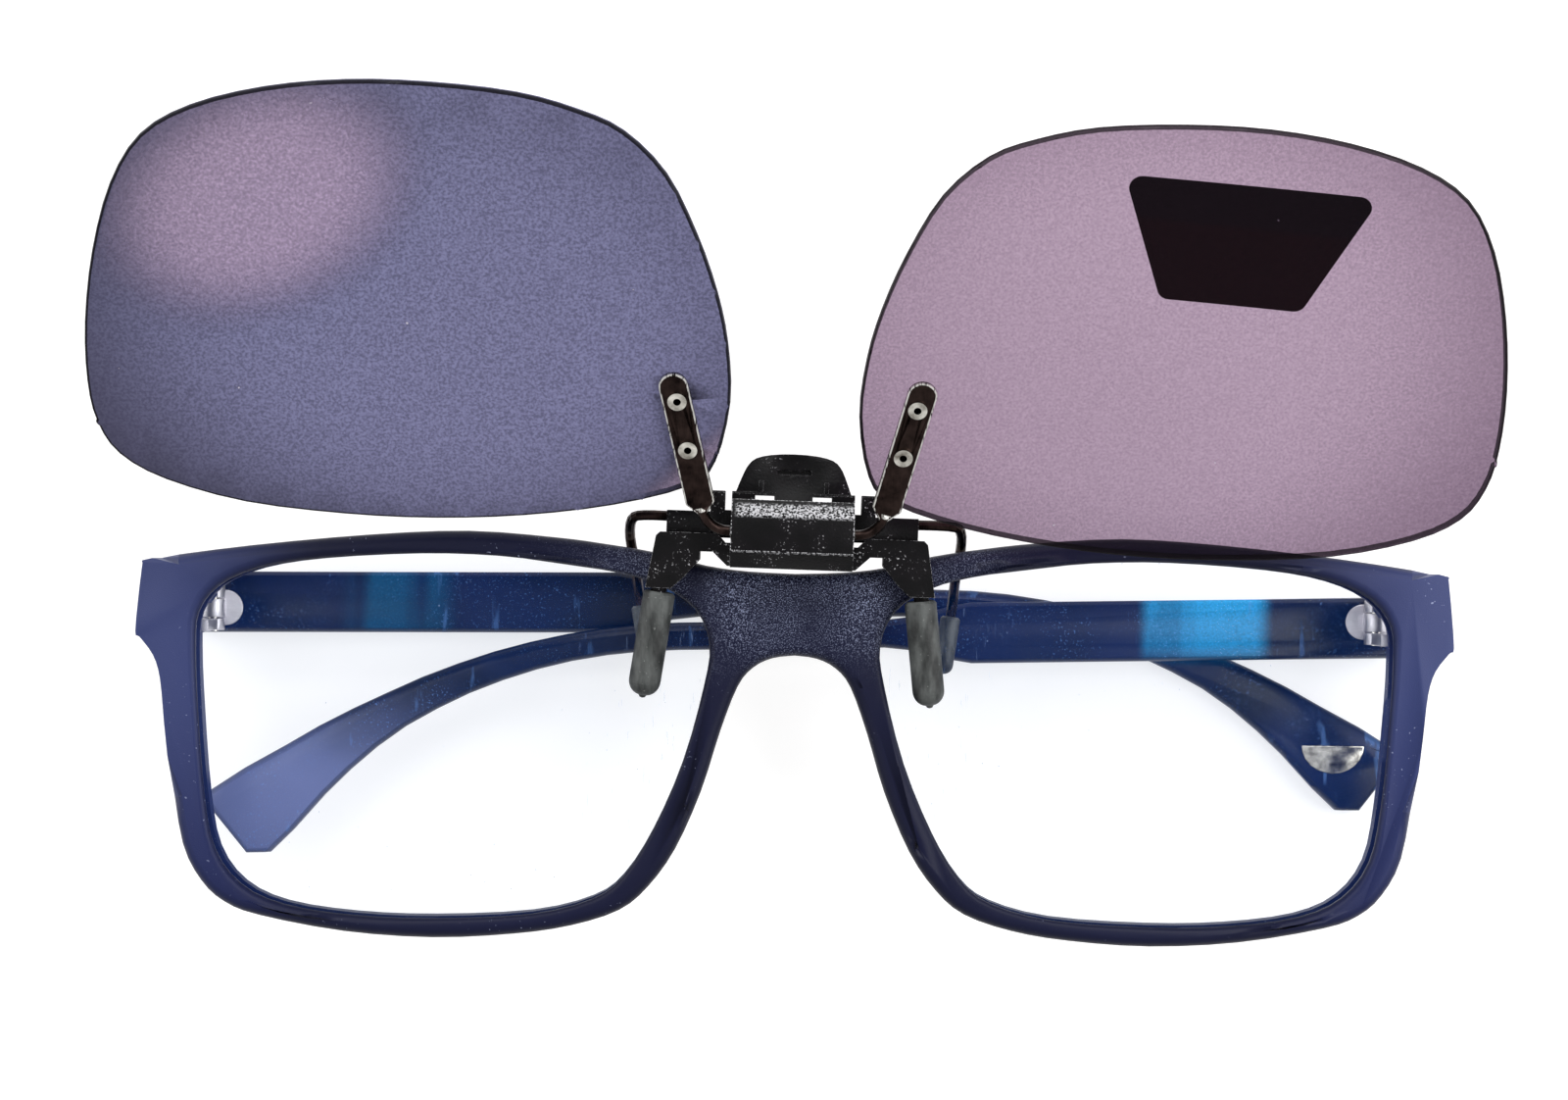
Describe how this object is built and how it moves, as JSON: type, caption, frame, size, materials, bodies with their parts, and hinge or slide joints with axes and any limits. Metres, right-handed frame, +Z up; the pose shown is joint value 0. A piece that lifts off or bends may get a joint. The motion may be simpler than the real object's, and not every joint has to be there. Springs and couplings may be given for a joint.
{
  "type": "reading glasses with flip-up sun clip",
  "caption": "Plastic reading glasses, folded and lying face up, with a flip-up sun clip clamped on the bridge and its tinted lenses raised.",
  "frame": {"origin": "middle of the whole outline on the surface that the folded glasses lie on", "axes": "+X along the front to the right as the viewer sees it, +Y from the lower rims to the brow, +Z up from the table to the viewer"},
  "size_m": [0.14, 0.0839, 0.0518],
  "materials": {
    "navy_plastic": "satin",
    "temple_plastic": "gloss",
    "clear_lens": "clear, coated",
    "tint_left": "tinted",
    "tint_right": "tinted",
    "hinge_steel": "brushed",
    "bright_steel": "polished",
    "gunmetal": "black plated",
    "clip_plastic": "moulded",
    "sleeve_rubber": "matt",
    "sticker_film": "film"
  },
  "bodies": {
    "front": {"front_frame": "navy_plastic", "lens_left": "clear_lens", "lens_right": "clear_lens", "hinge_leaf_left": "hinge_steel", "hinge_leaf_right": "hinge_steel", "hinge_screw_left": "bright_steel", "hinge_screw_right": "bright_steel", "clip_housing": "clip_plastic", "clip_bracket": "clip_plastic", "front_sleeve_left": "sleeve_rubber", "front_sleeve_right": "sleeve_rubber", "detent_spring": "bright_steel", "jaw_pin": "bright_steel"},
    "left_arm": {"temple_left": "temple_plastic", "temple_plate_left": "hinge_steel", "temple_inlay": "bright_steel"},
    "right_arm": {"temple_right": "temple_plastic", "temple_plate_right": "hinge_steel"},
    "sun_unit": {"flip_shaft": "gunmetal", "flip_arm_left": "gunmetal", "flip_arm_right": "gunmetal", "sun_lens_left": "tint_left", "sun_lens_right": "tint_right", "lens_rivets_left": "bright_steel", "lens_rivets_right": "bright_steel", "lens_sticker": "sticker_film"},
    "jaw": {"thumb_lever": "clip_plastic", "jaw_spring": "bright_steel", "rear_wire_left": "gunmetal", "rear_wire_right": "gunmetal", "rear_tip_left": "sleeve_rubber", "rear_tip_right": "sleeve_rubber"}
  },
  "joints": [
    {"name": "left_hinge", "type": "hinge", "parent": "front", "child": "left_arm", "pos_m": [-0.0634, -0.00795, 0.0065], "axis": [0, 1, 0], "range_deg": [0, 97.2]},
    {"name": "right_hinge", "type": "hinge", "parent": "front", "child": "right_arm", "pos_m": [0.0634, -0.00795, 0.0065], "axis": [0, -1, 0], "range_deg": [0, 100]},
    {"name": "flip_shaft", "type": "hinge", "parent": "front", "child": "sun_unit", "pos_m": [-0.00042, 0.00087, 0.025], "axis": [0.9997, -0.0244, 0], "range_deg": [0, 149]},
    {"name": "jaw_pivot", "type": "hinge", "parent": "front", "child": "jaw", "pos_m": [-0.00038, 0.00247, 0.0186], "axis": [0.9997, -0.0244, 0], "range_deg": [0, 20], "stiffness_Nm_per_rad": 0.005, "springref_deg": -17.19}
  ]
}
